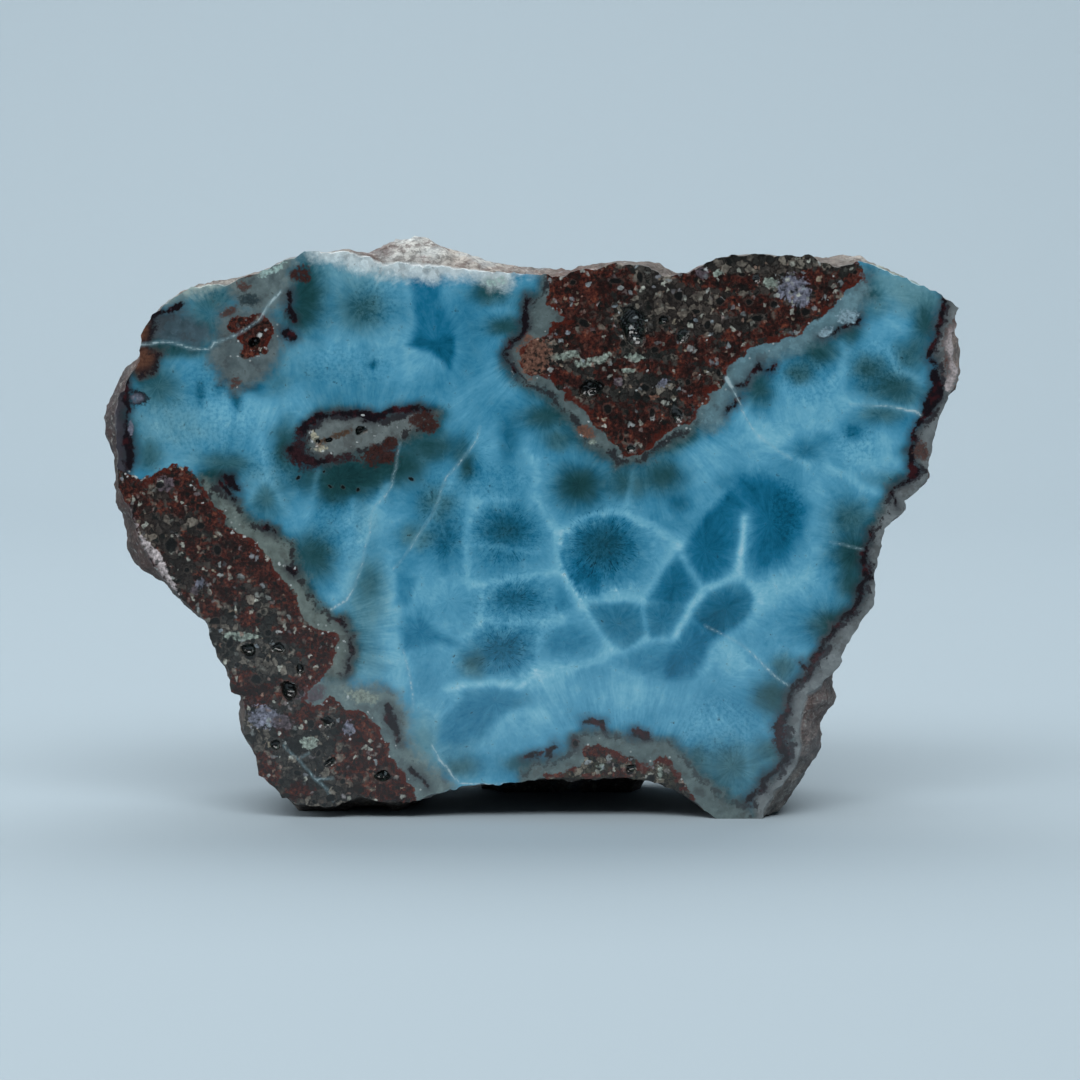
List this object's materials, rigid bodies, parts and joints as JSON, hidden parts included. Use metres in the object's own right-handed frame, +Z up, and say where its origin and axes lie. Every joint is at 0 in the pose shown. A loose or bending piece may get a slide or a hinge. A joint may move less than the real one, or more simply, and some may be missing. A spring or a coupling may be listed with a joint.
{
  "type": "rough larimar slab",
  "caption": "Thick slab of blue pectolite in red-brown basalt with a flat polished face and broken rough sides, standing on its lower edge",
  "frame": {"origin": "middle of the slab's bounding box in plan, at the height of the surface it stands on", "axes": "+X along the slab's width, to the right as seen facing the polished face; +Y from the polished face towards the broken back; +Z up"},
  "size_m": [0.12, 0.038, 0.0813],
  "materials": {
    "larimar": "polished on the sawn face, rough and matt on the broken sides"
  },
  "bodies": {
    "root": {"larimar_slab": "larimar"}
  },
  "joints": []
}
